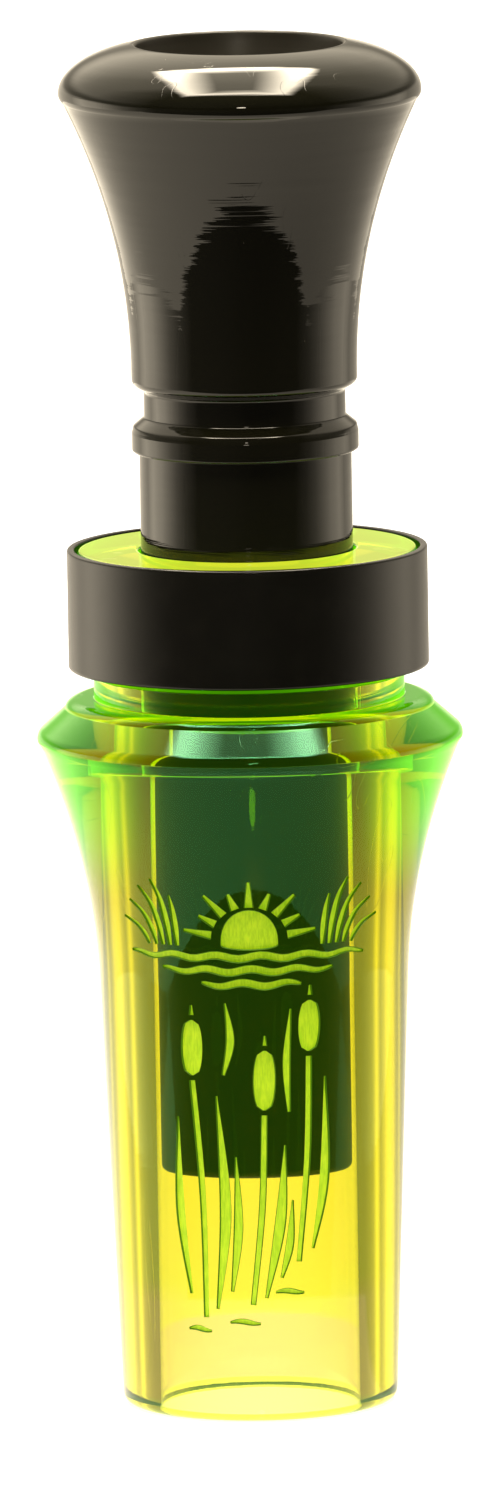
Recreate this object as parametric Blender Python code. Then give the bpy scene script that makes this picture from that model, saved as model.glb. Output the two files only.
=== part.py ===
"""A duck call, standing on its mouthpiece: a clear turned barrel with a band pressed round its top, and
a black insert that plugs into it. The insert is a turned stopper with an exhaust horn, an O-ring on its
tenon and a moulded tone board that carries two flat reeds under a wedge.

Frame: +Z runs up the call's axis from the mouthpiece, and the origin is the centre of the mouthpiece's
flat end. The reeds lie on the +Y side of the tone board, and its round back faces -Y. Lengths are in
metres.
"""

import math

import bmesh
import bpy
from mathutils import Matrix

MM = 0.001

# Barrel, from the mouthpiece upwards
BARREL_LENGTH = 76.9 * MM
LIP_RADIUS = 12.24 * MM
LIP_ROUNDING = 1.0 * MM
TAPER = 0.0405  # radius gained for each length up the barrel
FLARE_START = 38.6 * MM
FLARE_RIM_HEIGHT = 59.3 * MM
FLARE_GROWTH = 4.0 * MM
RIM_RADIUS = 19.0 * MM
RIM_ROUNDING = 1.1 * MM
RIM_RISE = 0.75 * MM  # height of the rim's widest line above the flare's end
RIDGE_RADIUS = 16.45 * MM  # inner end of the cone above the flare's rim
RIDGE_HEIGHT = 62.8 * MM
SHOULDER_ROUNDING = (1.35 * MM, 0.8 * MM)  # the round shoulder inside the ridge
NECK_RADIUS = 13.85 * MM
NECK_STEP = 0.6 * MM  # where the slope from the neck to the band's seat starts below the band
BAND_SEAT_RADIUS = 15.1 * MM
BORE_RADIUS = 8.9 * MM
BORE_CHAMFER = 0.45 * MM
SOCKET_RADIUS = 9.65 * MM
SOCKET_DEPTH = 17.3 * MM
SOCKET_CHAMFER = 0.3 * MM

# Band
BAND_RADIUS = 16.05 * MM
BAND_BOTTOM = 66.3 * MM
BAND_TOP = 77.0 * MM
BAND_WALL = 0.65 * MM
BAND_CHAMFER = 0.2 * MM

# Stopper, from the top downwards
TOTAL_LENGTH = 122.08 * MM
HORN_MOUTH_RADIUS = 9.5 * MM
BELL_RADIUS = 16.15 * MM
BELL_RIM_HEIGHT = 117.8 * MM
DOME_CENTRE_RADIUS = 6.5 * MM  # the rim is part of an ellipse centred inside the mouth
DOME_HEIGHT = 4.5 * MM
BELL_UNDERCUT = 0.75 * MM  # height of the rounding under the bell's widest ring
BELL_FOOT_RADIUS = 10.08 * MM
BELL_FOOT_HEIGHT = 92.4 * MM
BELL_CREASE_STEP = 0.35 * MM  # how far the flare's top lies inside the bell's widest ring
BELL_CURVE = 2.1  # power of the flare's curve
GROOVE_RADIUS = 8.98 * MM
GROOVE_TOP = 90.8 * MM
GROOVE_BOTTOM = 88.8 * MM
BEAD_RADIUS = 10.1 * MM
BEAD_TOP = 87.6 * MM
BEAD_BOTTOM = 85.7 * MM
BEAD_ROUNDING = 0.2 * MM
GROOVE_SLOPE = 0.45 * MM
TENON_RADIUS = 9.45 * MM
TENON_CHAMFER = 0.3 * MM
EXHAUST_RADIUS = 6.0 * MM
HORN_THROAT_HEIGHT = 94.0 * MM
HORN_LIP = 0.3 * MM  # the small round between the horn's inside and the dome of its rim
EXHAUST_FOOT = 71.9 * MM  # where the exhaust bore meets the seat of the tone board's plug
PLUG_SEAT_RADIUS = 8.05 * MM

# O-ring, in a groove of the tenon behind the band
O_RING_HEIGHT = 74.6 * MM
O_RING_MINOR = 0.6 * MM
O_RING_MAJOR = 8.95 * MM
O_GROOVE_RADIUS = 8.2 * MM
O_GROOVE_WIDTH = 1.6 * MM

# Tone board
BOARD_RADIUS = 8.55 * MM
BOARD_TIP = 21.6 * MM
BOARD_TIP_BEVEL = 0.7 * MM
PLUG_RADIUS = 7.85 * MM
PLUG_TOP = 71.6 * MM
TABLE_Y = -1.0 * MM
TABLE_DROP = 2.2 * MM  # how far the curved table has fallen at its tip
SLOT_TOP_Y = 2.7 * MM
SLOT_WIDTH = 13.4 * MM
SLOT_END = 70.0 * MM
CHANNEL_WIDTH = 5.6 * MM
CHANNEL_DEPTH = 4.2 * MM
CHANNEL_TIP = 25.4 * MM

# Reeds and their wedge
REED_WIDTH = 13.0 * MM
REED_THICKNESS = 0.25 * MM
REED_TAIL = 69.6 * MM
LOWER_REED_TIP = 22.4 * MM
UPPER_REED_TIP = 24.0 * MM
REED_CORNER = 4.5 * MM
DIMPLE_HEIGHT = 0.2 * MM
DIMPLE_RADIUS = 0.9 * MM
DIMPLE_FROM_TIP = 11.0 * MM
REED_PIVOT_HEIGHT = 62.0 * MM  # where the reeds bend, just inside their clamp
WEDGE_WIDTH = 12.6 * MM
WEDGE_THICK = 2.0 * MM
WEDGE_THIN = 1.8 * MM
WEDGE_OUTER = 58.6 * MM
WEDGE_BEVEL = 0.25 * MM

FIT = 0.3 * MM  # gap kept between two faces that touch
SEGMENTS = 48
SHARP_ANGLE = math.radians(28)

TENON_END = BARREL_LENGTH - SOCKET_DEPTH + FIT


def material(name, colour, roughness, metallic=0.0, alpha=1.0, transmission=0.0):
    """A Principled material of one colour."""
    made = bpy.data.materials.new(name)
    made.use_nodes = True
    shader = made.node_tree.nodes["Principled BSDF"]
    shader.inputs["Base Color"].default_value = (*colour, 1)
    shader.inputs["Roughness"].default_value = roughness
    shader.inputs["Metallic"].default_value = metallic
    shader.inputs["Alpha"].default_value = alpha
    shader.inputs["Transmission Weight"].default_value = transmission
    return made


def finished(name, bm, finish):
    """Links a bmesh into the scene as a named object, smooth except at its real edges."""
    bmesh.ops.recalc_face_normals(bm, faces=bm.faces)
    mesh = bpy.data.meshes.new(name)
    bm.to_mesh(mesh)
    bm.free()
    mesh.shade_smooth()
    mesh.set_sharp_from_angle(angle=SHARP_ANGLE)
    mesh.materials.append(finish)
    obj = bpy.data.objects.new(name, mesh)
    bpy.context.scene.collection.objects.link(obj)
    return obj


def arc(centre, radii, start, end, steps):
    """Points of an elliptical arc in the (radius, height) plane, angles in degrees from straight out."""
    found = []
    for i in range(steps + 1):
        angle = math.radians(start + (end - start) * i / steps)
        found.append((centre[0] + radii[0] * math.cos(angle), centre[1] + radii[1] * math.sin(angle)))
    return found


def turned(name, outline, finish):
    """A ring-shaped solid: a closed outline of (radius, height) points spun round the Z axis."""
    bm = bmesh.new()
    corners = [bm.verts.new((radius, 0, height)) for radius, height in outline]
    edges = [bm.edges.new((a, b)) for a, b in zip(corners, corners[1:] + corners[:1])]
    bmesh.ops.spin(
        bm,
        geom=corners + edges,
        axis=(0, 0, 1),
        cent=(0, 0, 0),
        angle=math.tau,
        steps=SEGMENTS,
        use_merge=True,
    )
    return finished(name, bm, finish)


def extruded(name, outline, half_width, finish):
    """A prism: a closed outline of (y, z) points extruded from -half_width to half_width along X."""
    bm = bmesh.new()
    face = bm.faces.new([bm.verts.new((-half_width, y, z)) for y, z in outline])
    moved = bmesh.ops.extrude_face_region(bm, geom=[face])
    verts = [v for v in moved["geom"] if isinstance(v, bmesh.types.BMVert)]
    bmesh.ops.translate(bm, verts=verts, vec=(2 * half_width, 0, 0))
    return finished(name, bm, finish)


def rod(name, radius, bottom, top, finish, tip_bevel=0.0):
    """A solid cylinder on the Z axis, with its lower edge bevelled."""
    bm = bmesh.new()
    place = Matrix.Translation((0, 0, (bottom + top) / 2))
    bmesh.ops.create_cone(
        bm,
        cap_ends=True,
        segments=SEGMENTS,
        radius1=radius,
        radius2=radius,
        depth=top - bottom,
        matrix=place,
    )
    if tip_bevel:
        middle = (bottom + top) / 2
        rim = [e for e in bm.edges if all(v.co.z < middle for v in e.verts)]
        bmesh.ops.bevel(bm, geom=rim, offset=tip_bevel, segments=2, profile=0.5, affect="EDGES")
    return finished(name, bm, finish)


def boolean(obj, operation, other):
    """Joins or cuts obj with a helper object, which is then kept out of the build."""
    step = obj.modifiers.new(other.name, "BOOLEAN")
    step.operation = operation
    step.object = other
    other.hide_render = True
    other.display_type = "WIRE"


def flare_radius(height):
    """The barrel's outer radius below its rim: a straight taper, and a parabola above FLARE_START."""
    share = max(0.0, height - FLARE_START) / (FLARE_RIM_HEIGHT - FLARE_START)
    return LIP_RADIUS + TAPER * height + FLARE_GROWTH * share**2


def barrel_outline():
    outline = [(BORE_RADIUS + BORE_CHAMFER, 0)]
    outline += arc((LIP_RADIUS - LIP_ROUNDING, LIP_ROUNDING), (LIP_ROUNDING,) * 2, -90, 0, 4)
    steps = 8
    for i in range(steps + 1):
        height = FLARE_START + (FLARE_RIM_HEIGHT - FLARE_START) * i / steps
        outline.append((flare_radius(height), height))
    # the rim's rounding, then a cone up to the ridge and the round shoulder inside it
    rim_centre = (RIM_RADIUS - RIM_ROUNDING, FLARE_RIM_HEIGHT + RIM_RISE)
    outline += arc(rim_centre, (RIM_ROUNDING,) * 2, -10, 50, 3)
    shoulder_centre = (RIDGE_RADIUS - SHOULDER_ROUNDING[0], RIDGE_HEIGHT)
    outline += arc(shoulder_centre, SHOULDER_ROUNDING, 0, 90, 4)
    outline += [
        (NECK_RADIUS, RIDGE_HEIGHT + SHOULDER_ROUNDING[1]),
        (NECK_RADIUS, BAND_BOTTOM - NECK_STEP),
        (BAND_SEAT_RADIUS, BAND_BOTTOM + NECK_STEP / 2),
        (BAND_SEAT_RADIUS, BARREL_LENGTH - SOCKET_CHAMFER),
        (BAND_SEAT_RADIUS - SOCKET_CHAMFER, BARREL_LENGTH),
        (SOCKET_RADIUS + SOCKET_CHAMFER, BARREL_LENGTH),
        (SOCKET_RADIUS, BARREL_LENGTH - SOCKET_CHAMFER),
        (SOCKET_RADIUS, BARREL_LENGTH - SOCKET_DEPTH),
        (BORE_RADIUS, BARREL_LENGTH - SOCKET_DEPTH),
        (BORE_RADIUS, BORE_CHAMFER),
    ]
    return outline


def band_outline():
    inner = BAND_RADIUS - BAND_WALL
    return [
        (BAND_RADIUS - BAND_CHAMFER, BAND_BOTTOM),
        (BAND_RADIUS, BAND_BOTTOM + BAND_CHAMFER),
        (BAND_RADIUS, BAND_TOP - BAND_CHAMFER),
        (BAND_RADIUS - BAND_CHAMFER, BAND_TOP),
        (inner, BAND_TOP),
        (inner, BAND_BOTTOM),
    ]


def bell_point(share):
    """A point of the bell's hollow flare: share is 0 at its foot and 1 under the rim."""
    top = BELL_RIM_HEIGHT - BELL_UNDERCUT
    growth = BELL_RADIUS - BELL_CREASE_STEP - BELL_FOOT_RADIUS
    height = BELL_FOOT_HEIGHT + (top - BELL_FOOT_HEIGHT) * share
    return BELL_FOOT_RADIUS + growth * share**BELL_CURVE, height


def stopper_outline():
    dome = (BELL_RADIUS - DOME_CENTRE_RADIUS, DOME_HEIGHT)
    mouth_angle = math.degrees(math.asin((TOTAL_LENGTH - BELL_RIM_HEIGHT) / DOME_HEIGHT))
    outline = arc((DOME_CENTRE_RADIUS, BELL_RIM_HEIGHT), dome, mouth_angle, 0, 7)
    # the bell falls away under its rim in a hollow curve
    steps = 9
    for i in range(steps, -1, -1):
        outline.append(bell_point(i / steps))
    outline += [
        (GROOVE_RADIUS + GROOVE_SLOPE, GROOVE_TOP + GROOVE_SLOPE),
        (GROOVE_RADIUS, GROOVE_TOP),
        (GROOVE_RADIUS, GROOVE_BOTTOM),
        (GROOVE_RADIUS + GROOVE_SLOPE, GROOVE_BOTTOM - GROOVE_SLOPE),
        (BEAD_RADIUS - BEAD_ROUNDING, BEAD_TOP + BEAD_ROUNDING),
        (BEAD_RADIUS, BEAD_TOP - BEAD_ROUNDING),
        (BEAD_RADIUS, BEAD_BOTTOM + BEAD_ROUNDING),
        (BEAD_RADIUS - BEAD_ROUNDING, BEAD_BOTTOM),
        (TENON_RADIUS, BEAD_BOTTOM),
        (TENON_RADIUS, O_RING_HEIGHT + O_GROOVE_WIDTH / 2),
        (O_GROOVE_RADIUS, O_RING_HEIGHT + O_GROOVE_WIDTH / 2),
        (O_GROOVE_RADIUS, O_RING_HEIGHT - O_GROOVE_WIDTH / 2),
        (TENON_RADIUS, O_RING_HEIGHT - O_GROOVE_WIDTH / 2),
        (TENON_RADIUS, TENON_END + TENON_CHAMFER),
        (TENON_RADIUS - TENON_CHAMFER, TENON_END),
        (PLUG_SEAT_RADIUS, TENON_END),
        (PLUG_SEAT_RADIUS, EXHAUST_FOOT),
        (EXHAUST_RADIUS, EXHAUST_FOOT),
    ]
    # the horn opens upwards from its throat as a parabola
    steps = 6
    for i in range(steps + 1):
        widening = (HORN_MOUTH_RADIUS - HORN_LIP - EXHAUST_RADIUS) * (i / steps) ** 2
        height = HORN_THROAT_HEIGHT + (TOTAL_LENGTH - 2 * HORN_LIP - HORN_THROAT_HEIGHT) * i / steps
        outline.append((EXHAUST_RADIUS + widening, height))
    return outline


def table_height(height):
    """The y of the tone board's curved table at a height."""
    share = max(0.0, (TENON_END - height) / (TENON_END - BOARD_TIP))
    return TABLE_Y - TABLE_DROP * share**2


def tone_board(finish):
    """The moulded tone board: a plug with the reed slot, and a half-round trough with a curved table."""
    overrun = 1.0 * MM
    board = rod("tone_board", BOARD_RADIUS, BOARD_TIP, TENON_END - FIT, finish, BOARD_TIP_BEVEL)
    plug = rod("plug_blank", PLUG_RADIUS, TENON_END - 2 * overrun, PLUG_TOP, finish)
    boolean(board, "UNION", plug)

    steps = 14
    bottom = BOARD_TIP - overrun
    above_table = [
        (table_height(bottom + (TENON_END - bottom) * i / steps), bottom + (TENON_END - bottom) * i / steps)
        for i in range(steps + 1)
    ]
    above_table += [(BOARD_RADIUS + overrun, TENON_END), (BOARD_RADIUS + overrun, bottom)]
    boolean(board, "DIFFERENCE", extruded("above_table", above_table, BOARD_RADIUS + overrun, finish))

    slot = [
        (TABLE_Y, TENON_END - overrun),
        (TABLE_Y, SLOT_END),
        (SLOT_TOP_Y, SLOT_END),
        (SLOT_TOP_Y, TENON_END - overrun),
    ]
    boolean(board, "DIFFERENCE", extruded("reed_slot", slot, SLOT_WIDTH / 2, finish))
    boolean(board, "DIFFERENCE", channel_cutter(finish))
    return board


def channel_cutter(finish):
    """The tone channel's shape: a U section along Z with a round floor and a round end at the tip."""
    half = CHANNEL_WIDTH / 2
    floor_centre = TABLE_Y - CHANNEL_DEPTH + half
    bm = bmesh.new()
    section = [(-half, 0.1 * MM + TABLE_Y)]
    steps = 8
    for i in range(steps + 1):
        angle = math.pi + math.pi * i / steps
        section.append((half * math.cos(angle), floor_centre + half * math.sin(angle)))
    section.append((half, 0.1 * MM + TABLE_Y))
    face = bm.faces.new([bm.verts.new((x, y, CHANNEL_TIP)) for x, y in section])
    moved = bmesh.ops.extrude_face_region(bm, geom=[face])
    verts = [v for v in moved["geom"] if isinstance(v, bmesh.types.BMVert)]
    bmesh.ops.translate(bm, verts=verts, vec=(0, 0, PLUG_TOP + 1.0 * MM - CHANNEL_TIP))
    return finished("tone_channel", bm, finish)


def reed(name, tip, bottom_y, finish, pivot):
    """A flat reed with a rounded tip, across the pivot's X axis and with its thickness along Y."""
    half = REED_WIDTH / 2
    outline = [(-half, REED_TAIL), (half, REED_TAIL)]
    outline += arc((half - REED_CORNER, tip + REED_CORNER), (REED_CORNER,) * 2, 0, -90, 6)
    outline += arc((-half + REED_CORNER, tip + REED_CORNER), (REED_CORNER,) * 2, -90, -180, 6)
    bm = bmesh.new()
    face = bm.faces.new([bm.verts.new((x, bottom_y, z)) for x, z in outline])
    moved = bmesh.ops.extrude_face_region(bm, geom=[face])
    verts = [v for v in moved["geom"] if isinstance(v, bmesh.types.BMVert)]
    bmesh.ops.translate(bm, verts=verts, vec=(0, REED_THICKNESS, 0))
    bmesh.ops.translate(bm, verts=bm.verts, vec=-pivot.location)
    obj = finished(name, bm, finish)
    obj.parent = pivot
    return obj


def dimpled(obj, bottom_y, tip):
    """Adds the dimple that keeps the upper reed off the lower one: a shallow dome on its underside."""
    bm = bmesh.new()
    bmesh.ops.create_uvsphere(bm, u_segments=12, v_segments=6, radius=DIMPLE_RADIUS)
    bmesh.ops.scale(bm, verts=bm.verts, vec=(1, DIMPLE_HEIGHT / DIMPLE_RADIUS, 1))
    dome = finished("dimple", bm, obj.data.materials[0])
    dome.location = (0, bottom_y + REED_THICKNESS / 10, tip + DIMPLE_FROM_TIP)
    boolean(obj, "UNION", dome)


def wedge(bottom_y, finish):
    """The wedge that holds the reeds in their slot, thicker at its outer end."""
    outline = [
        (bottom_y, WEDGE_OUTER),
        (bottom_y + WEDGE_THICK, WEDGE_OUTER),
        (bottom_y + WEDGE_THIN, REED_TAIL),
        (bottom_y, REED_TAIL),
    ]
    obj = extruded("reed_wedge", outline, WEDGE_WIDTH / 2, finish)
    bevel = obj.modifiers.new("edges", "BEVEL")
    bevel.width = WEDGE_BEVEL
    bevel.segments = 2
    return obj


def empty(name, location):
    """An empty that stands on a joint's axis."""
    made = bpy.data.objects.new(name, None)
    made.location = location
    bpy.context.scene.collection.objects.link(made)
    return made


def build():
    for obj in list(bpy.data.objects):
        bpy.data.objects.remove(obj, do_unlink=True)

    chartreuse = material("clear_chartreuse", (0.62, 0.83, 0.02), 0.04, alpha=0.6, transmission=0.6)
    black = material("black_acrylic", (0.012, 0.012, 0.010), 0.12)
    anodised = material("black_anodised", (0.015, 0.015, 0.014), 0.35, metallic=0.8)
    moulded = material("black_moulded", (0.02, 0.02, 0.02), 0.3)
    rubber = material("black_rubber", (0.015, 0.015, 0.015), 0.7)
    film = material("reed_film", (0.85, 0.86, 0.82), 0.25)
    cork = material("cork", (0.50, 0.31, 0.16), 0.85)

    turned("barrel", barrel_outline(), chartreuse)
    turned("band", band_outline(), anodised)

    # the call's own axis, which the insert slides along and turns about
    insert_axis = empty("insert_axis", (0, 0, 0))
    stopper = turned("stopper", stopper_outline(), black)
    ring = arc((O_RING_MAJOR, O_RING_HEIGHT), (O_RING_MINOR,) * 2, 0, 315, 7)
    o_ring = turned("o_ring", ring, rubber)
    board = tone_board(moulded)

    lower_y = TABLE_Y + FIT
    upper_y = lower_y + REED_THICKNESS + FIT
    reed_wedge = wedge(upper_y + REED_THICKNESS + FIT, cork)
    reed_pivot = empty("reed_pivot", (0, (lower_y + upper_y + REED_THICKNESS) / 2, REED_PIVOT_HEIGHT))
    reed("lower_reed", LOWER_REED_TIP, lower_y, film, reed_pivot)
    dimpled(reed("upper_reed", UPPER_REED_TIP, upper_y, film, reed_pivot), upper_y, UPPER_REED_TIP)

    for piece in (stopper, o_ring, board, reed_wedge, reed_pivot):
        piece.parent = insert_axis


build()
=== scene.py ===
"""The looks of the duck call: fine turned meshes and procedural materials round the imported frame.

Lengths are in metres, in the frame's own axes: +Z up the call from the mouthpiece, reeds on the +Y side.
"""

import math

import bmesh
import bpy
from mathutils import Matrix, Vector


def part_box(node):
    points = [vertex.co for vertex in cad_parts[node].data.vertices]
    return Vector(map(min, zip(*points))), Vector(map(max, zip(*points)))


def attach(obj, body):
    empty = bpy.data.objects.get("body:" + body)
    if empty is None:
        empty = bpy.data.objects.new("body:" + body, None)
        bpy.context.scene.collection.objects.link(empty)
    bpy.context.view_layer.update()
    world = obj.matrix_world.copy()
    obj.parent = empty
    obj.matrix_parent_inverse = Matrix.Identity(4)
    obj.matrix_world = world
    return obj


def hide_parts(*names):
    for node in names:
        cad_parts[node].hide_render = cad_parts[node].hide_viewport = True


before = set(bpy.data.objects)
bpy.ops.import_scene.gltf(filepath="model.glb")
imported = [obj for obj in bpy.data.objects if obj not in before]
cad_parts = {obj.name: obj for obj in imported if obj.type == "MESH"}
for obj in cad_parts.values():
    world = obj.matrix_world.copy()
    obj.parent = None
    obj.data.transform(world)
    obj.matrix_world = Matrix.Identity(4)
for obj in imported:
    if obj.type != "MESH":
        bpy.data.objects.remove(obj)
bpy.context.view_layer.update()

MM = 0.001
ROUND_SEGMENTS = 192
CORNER_STEPS = 5
CORNER_HOLD = 0.15 * MM  # how far from a rounding its straight sides get one more point
SHARP_ANGLE = math.radians(32)

# Sizes read from the frame
BARREL_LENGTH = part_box("barrel")[1].z
RIM_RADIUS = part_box("barrel")[1].x
BAND_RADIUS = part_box("band")[1].x
BAND_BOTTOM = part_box("band")[0].z
BAND_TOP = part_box("band")[1].z
BELL_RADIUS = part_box("stopper")[1].x
TOTAL_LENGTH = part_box("stopper")[1].z
TENON_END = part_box("stopper")[0].z
BOARD_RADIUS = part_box("tone_board")[1].x
BOARD_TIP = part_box("tone_board")[0].z
PLUG_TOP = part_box("tone_board")[1].z
O_RING_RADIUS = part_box("o_ring")[1].x
O_RING_HEIGHT = (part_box("o_ring")[0].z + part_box("o_ring")[1].z) / 2

# Barrel
LIP_RADIUS = 12.24 * MM
LIP_ROUNDING = 1.0 * MM
TAPER = 0.0405
FLARE_START = 38.6 * MM
FLARE_RIM_HEIGHT = 59.3 * MM
FLARE_GROWTH = 4.0 * MM
RIM_ROUNDING = 1.1 * MM
RIM_RISE = 0.75 * MM
RIM_ARC = (-12, 50)  # the angles, in degrees, at which the rim's rounding starts and ends
RIDGE_RADIUS = 16.45 * MM
RIDGE_HEIGHT = 62.8 * MM
SHOULDER_ROUNDING = (1.35 * MM, 0.8 * MM)
SHOULDER_ARC = (0, 88)
NECK_RADIUS = 13.85 * MM
BAND_SEAT_RADIUS = 15.1 * MM
BAND_WALL = 0.65 * MM
BORE_RADIUS = 8.9 * MM
SOCKET_RADIUS = 9.65 * MM
SOCKET_DEPTH = 17.3 * MM

# Stopper
HORN_MOUTH_RADIUS = 9.5 * MM
BELL_RIM_HEIGHT = 117.8 * MM
DOME_CENTRE_RADIUS = 6.5 * MM
DOME_HEIGHT = 4.5 * MM
BELL_UNDERCUT = 0.75 * MM
BELL_CREASE_STEP = 0.35 * MM
BELL_CREASE_ARC = (-6, -50)
BELL_CURVE = 2.1
BELL_FOOT_RADIUS = 10.05 * MM
BELL_FOOT_HEIGHT = 92.4 * MM
GROOVE_RADIUS = 8.98 * MM
GROOVE_TOP = 90.8 * MM
GROOVE_BOTTOM = 88.8 * MM
BEAD_RADIUS = 10.1 * MM
BEAD_TOP = 87.6 * MM
BEAD_BOTTOM = 85.7 * MM
TENON_RADIUS = 9.45 * MM
EXHAUST_RADIUS = 6.0 * MM
HORN_THROAT_HEIGHT = 94.0 * MM
HORN_LIP = 0.3 * MM
EXHAUST_FOOT = 71.9 * MM
PLUG_SEAT_RADIUS = 8.05 * MM
O_GROOVE_RADIUS = 8.2 * MM
O_GROOVE_WIDTH = 1.6 * MM
O_RING_MINOR = 0.6 * MM
O_RING_FLASH = 0.02 * MM

# Tone board, reeds and wedge
PLUG_RADIUS = 7.85 * MM
TABLE_Y = -1.0 * MM
TABLE_DROP = 2.2 * MM
BOARD_TIP_BEVEL = 0.7 * MM
BOARD_SHOULDER_GAP = 0.3 * MM
SLOT_TOP_Y = 2.7 * MM
SLOT_WIDTH = 13.4 * MM
SLOT_END = 70.0 * MM
CHANNEL_WIDTH = 5.6 * MM
CHANNEL_DEPTH = 4.2 * MM
CHANNEL_TIP = 25.4 * MM
REED_CORNER = 4.5 * MM
REED_THICKNESS = 0.25 * MM
DIMPLE_RADIUS = 0.9 * MM
DIMPLE_FROM_TIP = 11.0 * MM
WEDGE_TAPER = 0.2 * MM

# Engraving on the barrel's front, in (distance round the barrel, height)
ENGRAVING_DEPTH = 0.20 * MM
ENGRAVING_LIFT = 2.1 * MM  # the whole design stands this much higher than its heights say
ENGRAVING_RADIUS = 13.8 * MM
ENGRAVING_TURN = math.radians(-1.5)
ENGRAVING_CLEARANCE = 0.12 * MM  # how far the cutter stands out of the wall
STROKE_GAIN = 1.35  # the strokes are cut this much wider than drawn below
STROKE_NARROWING = 0.08  # in mm: a stroke's floor is this much narrower at each side
STROKE_WIDENING = 0.06  # in mm: a stroke's top is this much wider at each side
SUN = (0.0, 41.2, 2.5)  # centre across, base height and radius of the engraved sun, in mm
MARSH_GROUND = 41.0  # the height, in mm, at which the tufts of grass start

# Clear acrylic. Pairs are where something starts and where it's full, in metres unless said otherwise
ACRYLIC_IOR = 1.49
ABSORB_COLOUR = (0.939, 0.934, 0.61, 1)
ABSORB_DENSITY = 1000.0
GLOSS_TINTS = ((1.0, 0.50, 1.0, 1), (0.15, 0.75, 0.40, 1))  # below and above GLOSS_CHANGE
GLOSS_CHANGE = (10 * MM, 13 * MM)
# painted glow: the barrel's emission, weak on the whole wall and stronger at the foot, the flare's rim and
# the top face
PAINTED_WALL_GLOW = 0.022
PAINTED_FOOT_GLOW = 0.3
FOOT_GLOW_HEIGHTS = (1.0 * MM, 0.1 * MM)
PAINTED_RIM_GLOW = (0.13, 0.70, 0.0, 1)
RIM_GLOW_HEIGHTS = (45 * MM, 58 * MM)
RIM_GLOW_FACING = (0.22, 0.8)  # Layer Weight's Facing
RIM_GLOW_FADE = (1.5 * MM, 0.4)  # the height over which it fades above the ridge, and what stays
RIM_GLOW_SLOPES = (-0.1, 0.3)  # the normal's Z
RIM_GLOW_GAINS = (1.35, 0.75)  # where the wall leans down, and where it leans up
PAINTED_TOP_GLOW = (0.50, 0.59, 0.03, 1)
TOP_GLOW_DEPTHS = (2 * MM, 1 * MM)  # below the barrel's top
TOP_GLOW_SLOPES = (0.6, 0.9)  # the normal's Z

# Studio. Levels are (degrees from the front, brightness) or, for the table, (share of its depth, brightness)
WARM = (1.0, 0.88, 0.68)
LEVEL_TOP = 30.0  # the brightness that 1.0 stands for in a ramp
LOW_LEVELS = (  # at the horizon
    *((0, 0.06), (55, 0.08), (69, 0.33), (81, 0.8), (93, 1.6)),
    *((105, 2.3), (121, 2.3), (134, 1.0), (160, 0.9), (180, 1.3)),
)
MID_LEVELS = ((0, 0.02), (60, 0.02), (90, 0.16), (110, 0.3), (140, 0.3), (165, 0.4), (180, 0.42))
THROUGH_LEVELS = (  # after a reflection inside the clear acrylic
    *((0, 0.06), (60, 0.3), (100, 0.45), (126, 0.55), (136, 0.75), (142, 1.0)),
    *((149, 2.3), (157, 1.1), (165, 1.7), (171, 2.6), (180, 2.8)),
)
MID_RISE = (0.02, 0.13)  # the direction's Z, from the low levels to the middle ones
HIGH_RISE = (0.17, 0.35)  # the direction's Z, from the middle levels to HIGH_GAIN times those
HIGH_GAIN = 3.3
SIDE_GAINS = (1.38, 0.82)  # left and right
SIDE_BLEND = 0.4
SOFTBOX = (-0.41, 0.36, -0.45, 0.92)  # left, right, near and far on a level plane at a height of 1
SOFTBOX_TAPER = 0.4
SOFTBOX_TAPER_CENTRE = 0.15
SOFTBOX_RISE = (0.5, 0.6)  # the direction's Z from which it shows
SOFTBOX_BORDER = (-0.06, 0.34)  # distances inwards from the box's edges, where its profile starts and ends
SOFTBOX_PROFILE = ((0.0, 0.0), (0.18, 25.0), (0.34, 25.0), (0.95, 2.6))
SOFTBOX_LOWEST_RISE = 0.01
BACKGROUND_LEVEL = 1.85
LAMP_AZIMUTH = math.radians(1.0)
LAMP_ELEVATION = math.radians(13.5)
LAMP_SIZE = math.radians(2.6)
LAMP_SOFTNESS = 1.2
LAMP_LEVEL = 25.0
FLOOR_SIZE = 3.0
FLOOR_DROP = 0.02 * MM
FLOOR_GLOW = 0.85
RISER_RADIUS = 0.056  # the bright half disc of the floor that the gloss shows
RISER_SOFTNESS = 0.001
RISER_BACK_SOFTNESS = 0.004
RISER_LEVEL = 2.0
FOOT_ZONE_RADIUS = 0.062  # the bluer ring of the floor, seen through clear pieces
FOOT_ZONE_SOFTNESS = 0.002
FOOT_ZONE_INNER_SOFTNESS = 0.004
FOOT_ZONE_COLOUR = (1.0, 0.80, 1.7, 1)
TABLE_DEPTH = 0.110
TABLE_FRONT = -0.25
TABLE_BACK = 0.9
TABLE_HALF_WIDTH = 0.6
TABLE_LEVELS = ((0.0, 1.25), (0.3, 1.25), (0.5, 1.4), (1.0, 2.0))
TABLE_SIDE_GAINS = (1.45, 0.8)

# Camera, at the photo's angle
CAMERA_DISTANCE = 2.0
CAMERA_ELEVATION = math.radians(8.5)
CAMERA_ROLL = math.radians(-0.93)
CAMERA_TARGET = (-0.035 * MM, 0, 58.3 * MM)
CAMERA_LENS = 536
CAMERA_SENSOR = 36


# --- Shapes -------------------------------------------------------------------------------------


def arc(centre, radii, start, end, steps):
    """Points of an elliptical arc in the (radius, height) plane, angles in degrees."""
    found = []
    for i in range(steps + 1):
        angle = math.radians(start + (end - start) * i / steps)
        found.append((centre[0] + radii[0] * math.cos(angle), centre[1] + radii[1] * math.sin(angle)))
    return found


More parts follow.
